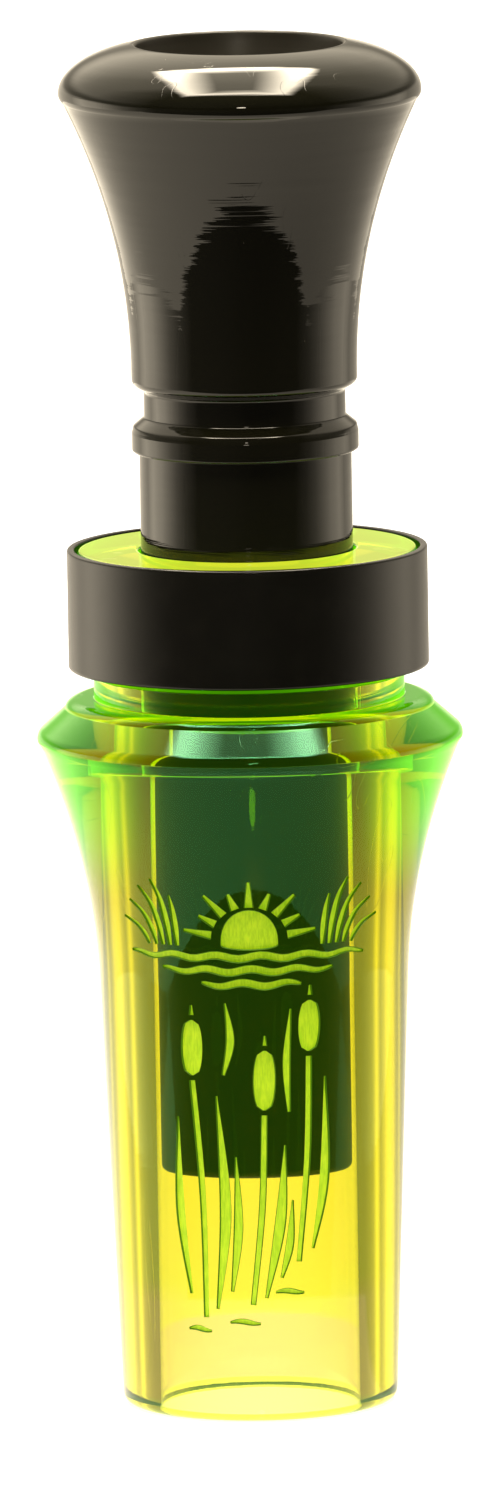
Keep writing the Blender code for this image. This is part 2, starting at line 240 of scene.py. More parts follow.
def rounded(corners, came_from=None, goes_to=None):
    """An outline: each corner is (radius, height) or (radius, height, rounding).

    It is a closed one, unless it's told which points lie before and after it.
    """
    outline = []
    ring = [came_from or corners[-1], *corners, goes_to or corners[0]]
    for last, corner, following in zip(ring, ring[1:], ring[2:]):
        here = Vector(corner[:2])
        before = Vector(last[:2]) - here
        after = Vector(following[:2]) - here
        if len(corner) == 2:
            outline.append(tuple(here))
            continue
        rounding = corner[2]
        half_angle = before.angle(after) / 2
        reach = rounding / math.tan(half_angle)
        bisector = (before.normalized() + after.normalized()).normalized()
        centre = here + bisector * (rounding / math.sin(half_angle))
        a = here + before.normalized() * reach - centre
        b = here + after.normalized() * reach - centre
        sweep = math.atan2(a.x * b.y - a.y * b.x, a.dot(b))
        if before.length > reach + 2 * CORNER_HOLD:
            outline.append(tuple(here + before.normalized() * (reach + CORNER_HOLD)))
        for k in range(CORNER_STEPS + 1):
            angle = sweep * k / CORNER_STEPS
            x = centre.x + a.x * math.cos(angle) - a.y * math.sin(angle)
            y = centre.y + a.x * math.sin(angle) + a.y * math.cos(angle)
            outline.append((x, y))
        if after.length > reach + 2 * CORNER_HOLD:
            outline.append(tuple(here + after.normalized() * (reach + CORNER_HOLD)))
    return outline


def finished(name, bm, *finishes):
    """Makes the object from its bmesh: smooth, with its sharp edges marked and its materials on."""
    bmesh.ops.recalc_face_normals(bm, faces=bm.faces)
    mesh = bpy.data.meshes.new(name)
    bm.to_mesh(mesh)
    bm.free()
    mesh.shade_smooth()
    mesh.set_sharp_from_angle(angle=SHARP_ANGLE)
    for finish in finishes:
        mesh.materials.append(finish)
    obj = bpy.data.objects.new(name, mesh)
    bpy.context.scene.collection.objects.link(obj)
    return obj


def turned(name, outline, finish):
    """A ring-shaped solid: a closed outline of (radius, height) points spun round the Z axis."""
    bm = bmesh.new()
    rings = []
    for i in range(ROUND_SEGMENTS):
        angle = math.tau * i / ROUND_SEGMENTS
        rings.append([bm.verts.new((r * math.cos(angle), r * math.sin(angle), z)) for r, z in outline])
    for ring, following in zip(rings, rings[1:] + rings[:1]):
        for k in range(len(outline)):
            j = (k + 1) % len(outline)
            bm.faces.new((ring[k], ring[j], following[j], following[k]))
    return finished(name, bm, finish)


def extruded(name, outline, low, high, finish, plane="YZ"):
    """A prism: an outline in the YZ plane extruded along X, or in the XZ plane along Y."""
    bm = bmesh.new()
    along = Vector((high - low, 0, 0)) if plane == "YZ" else Vector((0, high - low, 0))
    at = {"YZ": lambda a, z: (low, a, z), "XZ": lambda a, z: (a, low, z)}[plane]
    face = bm.faces.new([bm.verts.new(at(a, z)) for a, z in outline])
    moved = bmesh.ops.extrude_face_region(bm, geom=[face])
    verts = [v for v in moved["geom"] if isinstance(v, bmesh.types.BMVert)]
    bmesh.ops.translate(bm, verts=verts, vec=along)
    return finished(name, bm, finish)


def rod(name, radius, bottom, top, finish, tip_bevel=0.0):
    """A solid cylinder on the Z axis, with its lower edge rounded."""
    bm = bmesh.new()
    bmesh.ops.create_cone(
        bm,
        cap_ends=True,
        segments=ROUND_SEGMENTS,
        radius1=radius,
        radius2=radius,
        depth=top - bottom,
        matrix=Matrix.Translation((0, 0, (bottom + top) / 2)),
    )
    if tip_bevel:
        middle = (bottom + top) / 2
        rim = [e for e in bm.edges if all(v.co.z < middle for v in e.verts)]
        bmesh.ops.bevel(bm, geom=rim, offset=tip_bevel, segments=6, profile=0.5, affect="EDGES")
    return finished(name, bm, finish)


def combined(obj, operation, *others):
    """Joins or cuts obj with helper objects, which are then deleted."""
    for other in others:
        step = obj.modifiers.new(other.name, "BOOLEAN")
        step.operation = operation
        step.object = other
        step.solver = "EXACT"
        step.material_mode = "TRANSFER"
    applied(obj)
    for other in others:
        bpy.data.objects.remove(other, do_unlink=True)


def applied(obj):
    """Bakes an object's modifiers into its mesh."""
    evaluated = obj.evaluated_get(bpy.context.evaluated_depsgraph_get())
    mesh = bpy.data.meshes.new_from_object(evaluated)
    obj.modifiers.clear()
    obj.data = mesh
    mesh.set_sharp_from_angle(angle=SHARP_ANGLE)
    return obj


def bevelled(obj, width, segments):
    """Rounds an object's sharp edges."""
    step = obj.modifiers.new("edges", "BEVEL")
    step.width = width
    step.segments = segments
    step.limit_method = "ANGLE"
    return applied(obj)


# --- Materials ----------------------------------------------------------------------------------


class Nodes:
    """Builds a node tree, its nodes made and joined by short calls."""

    def __init__(self, block):
        block.use_nodes = True
        self.block = block
        self.tree = block.node_tree
        self.shader = self.tree.nodes.get("Principled BSDF")
        self.output = next(node for node in self.tree.nodes if node.bl_idname.startswith("ShaderNodeOutput"))

    def add(self, kind, inputs=None, **settings):
        node = self.tree.nodes.new(kind)
        for key, value in settings.items():
            setattr(node, key, value)
        for key, value in (inputs or {}).items():
            self.feed(node.inputs[key], value)
        return node

    def feed(self, socket, value):
        if isinstance(value, bpy.types.NodeSocket):
            self.tree.links.new(value, socket)
        else:
            socket.default_value = value

    def set(self, **inputs):
        """Feeds the Principled shader's inputs, named with underscores for spaces."""
        for key, value in inputs.items():
            self.feed(self.shader.inputs[key.replace("_", " ")], value)

    def place(self, scale=(1, 1, 1)):
        """The object's own coordinates, stretched."""
        coordinates = self.add("ShaderNodeTexCoord").outputs["Object"]
        return self.add("ShaderNodeMapping", {"Vector": coordinates, "Scale": scale}).outputs["Vector"]

    def split(self, vector):
        node = self.add("ShaderNodeSeparateXYZ", {"Vector": vector})
        return [node.outputs[axis] for axis in "XYZ"]

    def noise(self, scale, stretch=(1, 1, 1), detail=3.0, roughness=0.5):
        inputs = {"Vector": self.place(stretch), "Scale": scale, "Detail": detail, "Roughness": roughness}
        return self.add("ShaderNodeTexNoise", inputs).outputs["Fac"]

    def ramp(self, factor, *stops):
        """A colour ramp: stops are (position, value) with value a grey or a colour."""
        node = self.add("ShaderNodeValToRGB", {"Fac": factor})
        elements = node.color_ramp.elements
        while len(elements) < len(stops):
            elements.new(1.0)
        for element, (position, value) in zip(elements, stops):
            element.position = position
            colour = (value,) * 3 if isinstance(value, (int, float)) else value
            element.color = (*colour, 1)
        return node.outputs["Color"]

    def math(self, operation, a, b=0.0, c=0.0):
        return self.add("ShaderNodeMath", {0: a, 1: b, 2: c}, operation=operation).outputs[0]

    def step(self, value, low, high, to_low=0.0, to_high=1.0):
        """A smooth step from to_low at low to to_high at high."""
        inputs = {"Value": value, "From Min": low, "From Max": high, "To Min": to_low, "To Max": to_high}
        return self.add("ShaderNodeMapRange", inputs, interpolation_type="SMOOTHSTEP").outputs["Result"]

    def mix(self, factor, a, b):
        node = self.add("ShaderNodeMix", {"Factor": factor}, data_type="RGBA")
        self.feed(node.inputs[6], a)
        self.feed(node.inputs[7], b)
        return node.outputs[2]

    def emission(self, colour, strength):
        return self.add("ShaderNodeEmission", {"Color": colour, "Strength": strength}).outputs[0]

    def either(self, factor, first, second):
        """The first shader where the factor is 0, the second where it is 1."""
        return self.add("ShaderNodeMixShader", {0: factor, 1: first, 2: second}).outputs[0]

    def levels(self, factor, full, levels):
        """A grey ramp of (position, brightness): position full is its end, and LEVEL_TOP is its white."""
        return self.ramp(factor, *[(at / full, level / LEVEL_TOP) for at, level in levels])

    def bump(self, height, distance, normal=None):
        inputs = {"Height": height, "Distance": distance, "Strength": 1.0}
        if normal is not None:
            inputs["Normal"] = normal
        return self.add("ShaderNodeBump", inputs).outputs["Normal"]

    def reach(self, x, y):
        """How far a point lies from the Z axis."""
        return self.math("SQRT", self.math("ADD", self.math("MULTIPLY", x, x), self.math("MULTIPLY", y, y)))

    def outward(self):
        """How far the surface faces away from the Z axis: 1 straight away, 0 level or up, -1 inwards."""
        x, y, _ = self.split(self.add("ShaderNodeTexCoord").outputs["Object"])
        nx, ny, _ = self.split(self.add("ShaderNodeTexCoord").outputs["Normal"])
        along = self.math("ADD", self.math("MULTIPLY", x, nx), self.math("MULTIPLY", y, ny))
        return self.math("DIVIDE", along, self.reach(x, y))

    def specks(self, spacing, size, share):
        """Sparse round dots: 1 inside a dot, with share of the cells holding one."""
        cells = self.add("ShaderNodeTexVoronoi", {"Vector": self.place(), "Scale": 1 / spacing})
        near = self.step(cells.outputs["Distance"], size / spacing, 0.5 * size / spacing)
        chance = self.split(cells.outputs["Color"])[0]
        return self.math("MULTIPLY", near, self.math("LESS_THAN", chance, share))

    def scratches(self, scale, turn, width):
        """Fine hairlines: the thin lines along which a long stretched noise has one level."""
        coordinates = self.add("ShaderNodeTexCoord").outputs["Object"]
        inputs = {"Vector": coordinates, "Rotation": turn, "Scale": (1, 1, 0.06)}
        turned_by = self.add("ShaderNodeMapping", inputs).outputs["Vector"]
        inputs = {"Vector": turned_by, "Scale": scale, "Detail": 1.0}
        noise = self.add("ShaderNodeTexNoise", inputs).outputs["Fac"]
        level = 0.62
        away = self.math("ABSOLUTE", self.math("SUBTRACT", noise, level))
        return self.step(away, width, 0.0)


def new_material(name):
    return Nodes(bpy.data.materials.new(name))


def black_acrylic():
    """Black acrylic, turned and buffed: fine rings left by the tool, hairlines and a little dust."""
    n = new_material("black_acrylic")
    rings = n.noise(2600, stretch=(0.02, 0.02, 1.0), detail=2.0, roughness=0.6)
    chatter = n.noise(700, stretch=(0.10, 0.10, 1.0), detail=1.0)
    wander = n.noise(160, detail=1.0)
    normal = n.bump(rings, 0.009 * MM)
    normal = n.bump(n.math("MULTIPLY", chatter, wander), 0.11 * MM, normal=normal)
    hairlines = n.scratches(420, (0.9, 0.4, 0.0), width=0.006)
    normal = n.bump(hairlines, -0.002 * MM, normal=normal)
    dust = n.specks(2.4 * MM, 0.05 * MM, 0.35)
    smears = n.noise(260, stretch=(1, 1, 0.5), detail=3.0)
    polish = n.math("ADD", n.step(smears, 0.35, 0.75, 0.015, 0.04), n.math("MULTIPLY", dust, 0.4))
    inside = n.step(n.outward(), 0.0, -0.2)
    skin = n.mix(inside, (0.006, 0.006, 0.003, 1), (0.022, 0.020, 0.015, 1))
    n.set(
        Base_Color=n.mix(dust, skin, (0.16, 0.15, 0.12, 1)),
        Roughness=n.math("ADD", polish, n.math("MULTIPLY", inside, 0.34)),
        IOR=ACRYLIC_IOR,
        Normal=normal,
    )
    return n.block


def black_anodised():
    """Satin black anodised aluminium with fine turning lines and a few pale nicks."""
    n = new_material("black_anodised")
    lines = n.noise(9000, stretch=(0.01, 0.01, 1.0), detail=2.0, roughness=0.7)
    grain = n.noise(14000, detail=1.0)
    normal = n.bump(lines, 0.002 * MM)
    normal = n.bump(grain, 0.0015 * MM, normal=normal)
    nicks = n.specks(3.6 * MM, 0.09 * MM, 0.22)
    wear = n.step(n.noise(500, detail=4.0), 0.4, 0.8)
    tone = n.mix(wear, (0.0045, 0.0045, 0.0035, 1), (0.0065, 0.0065, 0.005, 1))
    n.set(
        Base_Color=n.mix(nicks, tone, (0.30, 0.28, 0.22, 1)),
        Roughness=n.math("ADD", n.step(wear, 0.0, 1.0, 0.235, 0.265), n.math("MULTIPLY", nicks, 0.2)),
        IOR=1.42,
        Normal=normal,
    )
    return n.block


def clear_chartreuse():
    """Clear fluorescent acrylic: yellow by what it absorbs, with a painted green glow: emission at the
    flare's rim, the top face and the foot.
    """
    n = new_material("clear_chartreuse")
    rings = n.noise(2400, stretch=(0.02, 0.02, 1.0), detail=2.0)
    waves = n.noise(110, stretch=(1, 1, 0.3), detail=1.0)
    normal = n.bump(rings, 0.0012 * MM)
    normal = n.bump(waves, 0.01 * MM, normal=normal)
    normal = n.bump(n.scratches(300, (0.5, 1.2, 0.3), width=0.004), -0.003 * MM, normal=normal)
    n.set(Base_Color=(1, 1, 1, 1), Roughness=0.0, IOR=ACRYLIC_IOR, Transmission_Weight=1.0, Normal=normal)
    _, _, height = n.split(n.add("ShaderNodeTexCoord").outputs["Object"])
    n.set(Specular_Tint=n.mix(n.step(height, *GLOSS_CHANGE), *GLOSS_TINTS))
    # painted glow: emission at the flare's grazing rim (by Layer Weight's facing), the top face and the foot,
    # and weakly on the whole wall
    _, _, upward = n.split(n.add("ShaderNodeTexCoord").outputs["Normal"])
    facing = n.add("ShaderNodeLayerWeight", {"Blend": 0.5}).outputs["Facing"]
    fade_height, left_over = RIM_GLOW_FADE
    rim = n.math("MULTIPLY", n.step(height, *RIM_GLOW_HEIGHTS), n.step(facing, *RIM_GLOW_FACING))
    rim = n.math("MULTIPLY", rim, n.step(height, RIDGE_HEIGHT, RIDGE_HEIGHT + fade_height, 1.0, left_over))
    rim = n.math("MULTIPLY", rim, n.step(upward, *RIM_GLOW_SLOPES, *RIM_GLOW_GAINS))
    rim = n.math("MAXIMUM", rim, n.step(height, *FOOT_GLOW_HEIGHTS, PAINTED_WALL_GLOW, PAINTED_FOOT_GLOW))
    near_top = n.step(height, BARREL_LENGTH - TOP_GLOW_DEPTHS[0], BARREL_LENGTH - TOP_GLOW_DEPTHS[1])
    top = n.math("MULTIPLY", near_top, n.step(upward, *TOP_GLOW_SLOPES))
    n.set(Emission_Color=n.mix(top, PAINTED_RIM_GLOW, PAINTED_TOP_GLOW), Emission_Strength=n.math("MAXIMUM", rim, top))
    n.block.cycles.emission_sampling = "NONE"
    absorb = n.add("ShaderNodeVolumeAbsorption", {"Color": ABSORB_COLOUR, "Density": ABSORB_DENSITY})
    n.feed(n.output.inputs["Volume"], absorb.outputs[0])
    return n.block


def frosted_engraving():
    """The engraved lines: frosted by the cutter, with a painted glow on their floor and painted shade on
    their walls.
    """
    n = new_material("frosted_engraving")
    hatch = n.noise(5200, stretch=(1, 1, 0.12), detail=2.0, roughness=0.7)
    patches = n.noise(900, detail=3.0)
    normal = n.bump(hatch, 0.05 * MM)
    tone = n.mix(n.step(hatch, 0.3, 0.7), (0.30, 0.50, 0.004, 1), (0.50, 0.68, 0.015, 1))
    # floor is 1 where the groove faces outwards; the walls get a darker colour and weaker emission: painted
    # shade
    floor = n.step(n.math("ABSOLUTE", n.outward()), 0.6, 0.95)
    lit = n.mix(n.step(patches, 0.3, 0.7), (0.20, 0.40, 0.0, 1), (0.30, 0.47, 0.004, 1))
    n.set(
        Base_Color=n.mix(floor, (0.04, 0.10, 0.0, 1), tone),
        Roughness=0.55,
        Normal=normal,
        # emission: painted glow, lime in patches on the floor, dark green on the walls
        Emission_Color=n.mix(floor, (0.04, 0.13, 0.0, 1), lit),
        Emission_Strength=0.75,
    )
    return n.block


def black_moulded():
    """Moulded black plastic, with the soft orange-peel of a mould and faint flow marks."""
    n = new_material("black_moulded")
    peel = n.noise(3200, detail=2.0)
    flow = n.noise(220, stretch=(1, 1, 0.2), detail=3.0)
    normal = n.bump(peel, 0.006 * MM)
    n.set(
        Base_Color=n.mix(flow, (0.004, 0.004, 0.004, 1), (0.010, 0.011, 0.009, 1)),
        Roughness=n.step(flow, 0.3, 0.7, 0.34, 0.48),
        Specular_IOR_Level=0.35,
        Normal=n.bump(flow, 0.03 * MM, normal=normal),
    )
    return n.block


def ring_rubber():
    """Nitrile rubber: dull, with a bloom and a slightly grainy skin."""
    n = new_material("ring_rubber")
    skin = n.noise(7000, detail=3.0)
    bloom = n.noise(600, detail=3.0)
    n.set(
        Base_Color=n.mix(n.step(bloom, 0.4, 0.8), (0.010, 0.010, 0.010, 1), (0.030, 0.030, 0.028, 1)),
        Roughness=n.step(bloom, 0.3, 0.8, 0.5, 0.7),
        Normal=n.bump(skin, 0.01 * MM),
    )
    return n.block


def reed_film():
    """Polyester reed film: milky, with lapping scratches along the reed and a smooth sheen."""
    n = new_material("reed_film")
    lapping = n.noise(6000, stretch=(1, 1, 0.02), detail=2.0, roughness=0.8)
    haze = n.noise(400, detail=3.0)
    n.set(
        Base_Color=n.mix(haze, (0.78, 0.79, 0.74, 1), (0.90, 0.91, 0.86, 1)),
        Roughness=n.step(lapping, 0.3, 0.7, 0.22, 0.38),
        Transmission_Weight=0.45,
        IOR=1.6,
        Normal=n.bump(lapping, 0.003 * MM),
    )
    return n.block


def cork():
    """Cork: pale cells, dark pores and streaks."""
    n = new_material("cork")
    cells = n.add("ShaderNodeTexVoronoi", {"Vector": n.place((1, 1, 0.7)), "Scale": 1900.0})
    streaks = n.noise(700, stretch=(1, 1, 0.35), detail=5.0, roughness=0.65)
    pores = n.step(n.noise(1500, stretch=(1, 1, 0.5), detail=2.0), 0.62, 0.70)
    body = n.ramp(streaks, (0.25, (0.26, 0.13, 0.05)), (0.5, (0.50, 0.30, 0.14)), (0.8, (0.66, 0.45, 0.25)))
    height = n.math("SUBTRACT", n.math("MULTIPLY", cells.outputs["Distance"], 0.4), pores)
    n.set(
        Base_Color=n.mix(pores, body, (0.09, 0.04, 0.015, 1)),
        Roughness=0.85,
        Normal=n.bump(height, 0.05 * MM),
    )
    return n.block


# --- Turned pieces ------------------------------------------------------------------------------


def barrel_radius(height):
    """The barrel's outer radius below its rim: a straight taper, and a parabola above FLARE_START."""
    share = max(0.0, height - FLARE_START) / (FLARE_RIM_HEIGHT - FLARE_START)
    return LIP_RADIUS + TAPER * height + FLARE_GROWTH * share**2


def barrel_outline():
    """The barrel's outline, up the outside from the foot and down the inside."""
    first = 2 * LIP_ROUNDING
    lip = [(BORE_RADIUS, 0, 0.45 * MM), (LIP_RADIUS, 0, LIP_ROUNDING)]
    outline = rounded(lip, (BORE_RADIUS, FLARE_START), (barrel_radius(first), first))
    steps = 56
    for i in range(steps + 1):
        height = first + (FLARE_RIM_HEIGHT - first) * i / steps
        outline.append((barrel_radius(height), height))
    # the rim's rounding, the cone above it, and the round shoulder inside the ridge
    rim_centre = (RIM_RADIUS - RIM_ROUNDING, FLARE_RIM_HEIGHT + RIM_RISE)
    outline += arc(rim_centre, (RIM_ROUNDING,) * 2, *RIM_ARC, 12)
    shoulder_centre = (RIDGE_RADIUS - SHOULDER_ROUNDING[0], RIDGE_HEIGHT)
    outline += arc(shoulder_centre, SHOULDER_ROUNDING, *SHOULDER_ARC, 14)
    socket_floor = BARREL_LENGTH - SOCKET_DEPTH
    bore_top = socket_floor - 1 * MM
    shoulder_top = RIDGE_HEIGHT + SHOULDER_ROUNDING[1]
    outline += rounded(
        [
            (NECK_RADIUS, shoulder_top, 0.12 * MM),
            (NECK_RADIUS, BAND_BOTTOM - 0.6 * MM, 0.2 * MM),
            (BAND_SEAT_RADIUS, BAND_BOTTOM + 0.3 * MM, 0.2 * MM),
            (BAND_SEAT_RADIUS, BARREL_LENGTH, 0.3 * MM),
            (SOCKET_RADIUS, BARREL_LENGTH, 0.3 * MM),
            (SOCKET_RADIUS, socket_floor, 0.05 * MM),
            (BORE_RADIUS, socket_floor, 0.05 * MM),
            (BORE_RADIUS, bore_top),
        ],
        came_from=(RIDGE_RADIUS, shoulder_top),
    )
    steps = 24
    for i in range(1, steps):
        outline.append((BORE_RADIUS, bore_top * (1 - i / steps)))
    return outline


def stopper_outline():
    """The stopper's outline: over the dome, down the bell and the tenon, and up through the horn."""
    dome_radii = (BELL_RADIUS - DOME_CENTRE_RADIUS, DOME_HEIGHT)
    mouth_angle = math.degrees(math.asin((TOTAL_LENGTH - BELL_RIM_HEIGHT) / DOME_HEIGHT))
    outline = arc((DOME_CENTRE_RADIUS, BELL_RIM_HEIGHT), dome_radii, mouth_angle, 0, 36)
    crease_end = math.radians(-BELL_CREASE_ARC[1])
    under = (BELL_CREASE_STEP / (1 - math.cos(crease_end)), BELL_UNDERCUT / math.sin(crease_end))
    outline += arc((BELL_RADIUS - under[0], BELL_RIM_HEIGHT), under, *BELL_CREASE_ARC, 8)[:-1]
    top = BELL_RIM_HEIGHT - BELL_UNDERCUT
    growth = BELL_RADIUS - BELL_CREASE_STEP - BELL_FOOT_RADIUS
    steps = 48
    for i in range(steps, 0, -1):
        share = i / steps
        height = BELL_FOOT_HEIGHT + (top - BELL_FOOT_HEIGHT) * share
        outline.append((BELL_FOOT_RADIUS + growth * share**BELL_CURVE, height))
    outline += rounded(
        [
            (BELL_FOOT_RADIUS, BELL_FOOT_HEIGHT - 0.6 * MM, 0.7 * MM),
            (GROOVE_RADIUS, GROOVE_TOP + 0.35 * MM, 0.4 * MM),
            (GROOVE_RADIUS, GROOVE_BOTTOM, 0.25 * MM),
            (BEAD_RADIUS - 0.15 * MM, BEAD_TOP + 0.4 * MM, 0.25 * MM),
            (BEAD_RADIUS, BEAD_TOP - 0.2 * MM, 0.2 * MM),
            (BEAD_RADIUS, BEAD_BOTTOM, 0.25 * MM),
            (TENON_RADIUS, BEAD_BOTTOM, 0.1 * MM),
            (TENON_RADIUS, O_RING_HEIGHT + O_GROOVE_WIDTH / 2, 0.1 * MM),
            (O_GROOVE_RADIUS, O_RING_HEIGHT + O_GROOVE_WIDTH / 2, 0.1 * MM),
            (O_GROOVE_RADIUS, O_RING_HEIGHT - O_GROOVE_WIDTH / 2, 0.1 * MM),
            (TENON_RADIUS, O_RING_HEIGHT - O_GROOVE_WIDTH / 2, 0.1 * MM),
            (TENON_RADIUS, TENON_END, 0.3 * MM),
            (PLUG_SEAT_RADIUS, TENON_END, 0.15 * MM),
            (PLUG_SEAT_RADIUS, EXHAUST_FOOT, 0.1 * MM),
            (EXHAUST_RADIUS, EXHAUST_FOOT, 0.15 * MM),
        ],
        came_from=(BELL_FOOT_RADIUS, top),
        goes_to=(EXHAUST_RADIUS, HORN_THROAT_HEIGHT),
    )
    steps = 28
    for i in range(steps + 1):
        widening = (HORN_MOUTH_RADIUS - HORN_LIP - EXHAUST_RADIUS) * (i / steps) ** 2
        height = HORN_THROAT_HEIGHT + (TOTAL_LENGTH - 2 * HORN_LIP - HORN_THROAT_HEIGHT) * i / steps
        outline.append((EXHAUST_RADIUS + widening, height))
    outline += arc((HORN_MOUTH_RADIUS, TOTAL_LENGTH - HORN_LIP), (HORN_LIP, HORN_LIP), 175, 105, 5)
    return outline


def stand_for(piece, node, body):
    """Hides a CAD node, whose place the fine piece takes, and puts the piece on the node's body."""
    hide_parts(node)
    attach(piece, body)


def make_barrel():
    """The clear barrel, with the engraving cut into its wall."""
    piece = turned("clear_barrel", barrel_outline(), clear_chartreuse())
    combined(piece, "DIFFERENCE", engraving_cutter(frosted_engraving()))
    restore_normals(piece)
    stand_for(piece, "barrel", "barrel")


def restore_normals(piece):
    """Gives the engraved wall the normals of the plain turned one, so that it refracts smoothly."""
    mesh = piece.data
    normals = [corner.vector.copy() for corner in mesh.corner_normals]
    slope_step = 0.05 * MM
    wall_bottom = 2 * MM
    wall_top = FLARE_RIM_HEIGHT - 1 * MM
    for face in mesh.polygons:
        if face.material_index != 0:
            continue
        for loop in face.loop_indices:
            at = mesh.vertices[mesh.loops[loop].vertex_index].co
            radius = math.hypot(at.x, at.y)
            if wall_bottom < at.z < wall_top and radius > LIP_RADIUS:
                rise = barrel_radius(at.z + slope_step) - barrel_radius(at.z - slope_step)
                normals[loop] = Vector((at.x / radius, at.y / radius, -rise / (2 * slope_step))).normalized()
    mesh.normals_split_custom_set(normals)


def make_band():
    """The band pressed round the barrel's top."""
    inner = BAND_RADIUS - BAND_WALL
    outline = rounded(
        [
            (BAND_RADIUS, BAND_BOTTOM, 0.25 * MM),
            (BAND_RADIUS, BAND_TOP, 0.2 * MM),
            (inner, BAND_TOP, 0.15 * MM),
            (inner, BAND_BOTTOM, 0.15 * MM),
        ]
    )
    stand_for(turned("turned_band", outline, black_anodised()), "band", "barrel")


def make_stopper():
    stand_for(turned("turned_stopper", stopper_outline(), black_acrylic()), "stopper", "insert")


def make_o_ring():
    """The O-ring, with the fine flash of its mould round the inside and outside."""
    middle = O_RING_RADIUS - O_RING_MINOR
    outline = arc((middle, O_RING_HEIGHT), (O_RING_MINOR - O_RING_FLASH,) * 2, 4, 176, 14)
    outline += [(middle - O_RING_MINOR, O_RING_HEIGHT)]
    outline += arc((middle, O_RING_HEIGHT), (O_RING_MINOR - O_RING_FLASH,) * 2, 184, 356, 14)
    outline += [(O_RING_RADIUS, O_RING_HEIGHT)]
    stand_for(turned("moulded_o_ring", outline, ring_rubber()), "o_ring", "seal")


# --- Engraving ----------------------------------------------------------------------------------


def on_barrel(across, height, lift):
    """The point that lies so far round the barrel's front and so high, lift above its surface."""
    angle = -math.pi / 2 + ENGRAVING_TURN + across / ENGRAVING_RADIUS
    height += ENGRAVING_LIFT
    radius = barrel_radius(height) + lift
    return (radius * math.cos(angle), radius * math.sin(angle), height)


def between(p, q, r, s, t):
    """A Catmull-Rom curve's value from q to r, with p and s beside them."""
    square = 2 * p - 5 * q + 4 * r - s
    cube = 3 * q - p - 3 * r + s
    return 0.5 * (2 * q + (r - p) * t + square * t**2 + cube * t**3)


def smooth_path(points, steps):
    """A smooth curve through (across, height, half width) points, in mm."""
    found = []
    ends = [points[0]] + list(points) + [points[-1]]
    for around in zip(ends, ends[1:], ends[2:], ends[3:]):
        for i in range(steps):
            found.append(tuple(between(*values, i / steps) for values in zip(*around)))
    return found + [points[-1]]


def add_groove(bm, path, upright=False):
    """One closed cutter: a ribbon of (across, height, half width) in mm, bent round the barrel.

    The ribbon is as wide as it says square to its path, or straight up and down if it is upright.
    """
    rings = []
    for i, (across, height, half) in enumerate(path):
        before, after = path[max(i - 1, 0)], path[min(i + 1, len(path) - 1)]
        along = Vector((after[0] - before[0], after[1] - before[1])).normalized()
        side = Vector((0, 1)) if upright else Vector((-along.y, along.x))
        floor_half = max(STROKE_GAIN * half - STROKE_NARROWING, 0.5 * half)
        wide_half = STROKE_GAIN * half + STROKE_WIDENING
        ring = []
        for reach, lift in (
            (-floor_half, -ENGRAVING_DEPTH),
            (floor_half, -ENGRAVING_DEPTH),
            (wide_half, ENGRAVING_CLEARANCE),
            (-wide_half, ENGRAVING_CLEARANCE),
        ):
            spot = Vector((across, height)) + side * reach
            ring.append(bm.verts.new(on_barrel(spot.x * MM, spot.y * MM, lift)))
        rings.append(ring)
    for ring, following in zip(rings, rings[1:]):
        for k in range(len(ring)):
            j = (k + 1) % len(ring)
            bm.faces.new((ring[k], ring[j], following[j], following[k]))
    bm.faces.new(rings[0][::-1])
    bm.faces.new(rings[-1])


def half_sun():
    """The sun's disc, cut off level at the water: an upright ribbon."""
    centre, base, radius = SUN
    least = 0.25
    path = []
    count = 16
    for i in range(count + 1):
        angle = math.pi * (1 - i / count)
        top = radius * math.sin(angle) + least
        path.append((centre + radius * math.cos(angle), base + top / 2, top / 2))
    return path


def sun_rays_and_marsh():
    """The rays of a half sun, three ripples below it, and a tuft of marsh grass on each side."""
    paths = []
    centre, base, radius = SUN
    lift = 0.35
    rise = 0.92
    for i in range(9):
        angle = math.radians(10 + 20 * i)
        near = radius + 0.85
        far = radius + (3.4 if i % 2 == 0 else 2.5)
        ray = []
        count = 4
        for k in range(count + 1):
            reach = near + (far - near) * k / count
            half = 0.30 - 0.18 * k / count
            ray.append((centre + reach * math.cos(angle), base + lift + rise * reach * math.sin(angle), half))
        paths.append(ray)
    ripples = ((40.1, -11.6, 10.9, 0.0), (38.85, -8.2, 7.6, 1.4), (37.6, -4.4, 4.6, 2.6))
    for height, left, right, phase in ripples:
        ripple = []
        count = 36
        for k in range(count + 1):
            share = k / count
            across = left + (right - left) * share
            wave = 0.17 * math.sin(across * 1.55 + phase)
            half = 0.09 + 0.19 * math.sin(math.pi * share) ** 0.5
            ripple.append((across, height + wave, half))
        paths.append(ripple)
    for side in (-1, 1):
        for foot, tip_across, tip_height, half in (
            (6.5, 6.9, 45.6, 0.22),
            (7.2, 8.5, 47.0, 0.23),
            (7.9, 9.9, 46.3, 0.22),
            (8.6, 11.1, 44.9, 0.21),
            (9.4, 12.1, 43.3, 0.19),
        ):
            lean = tip_across - foot
            length = tip_height - MARSH_GROUND
            blade = [
                (side * foot, MARSH_GROUND, 0.6 * half),
                (side * (foot + 0.14 * lean), MARSH_GROUND + 0.35 * length, half),
                (side * (foot + 0.45 * lean), MARSH_GROUND + 0.72 * length, 0.8 * half),
                (side * tip_across, tip_height, 0.08),
            ]
            paths.append(smooth_path(blade, steps=5))
    return paths


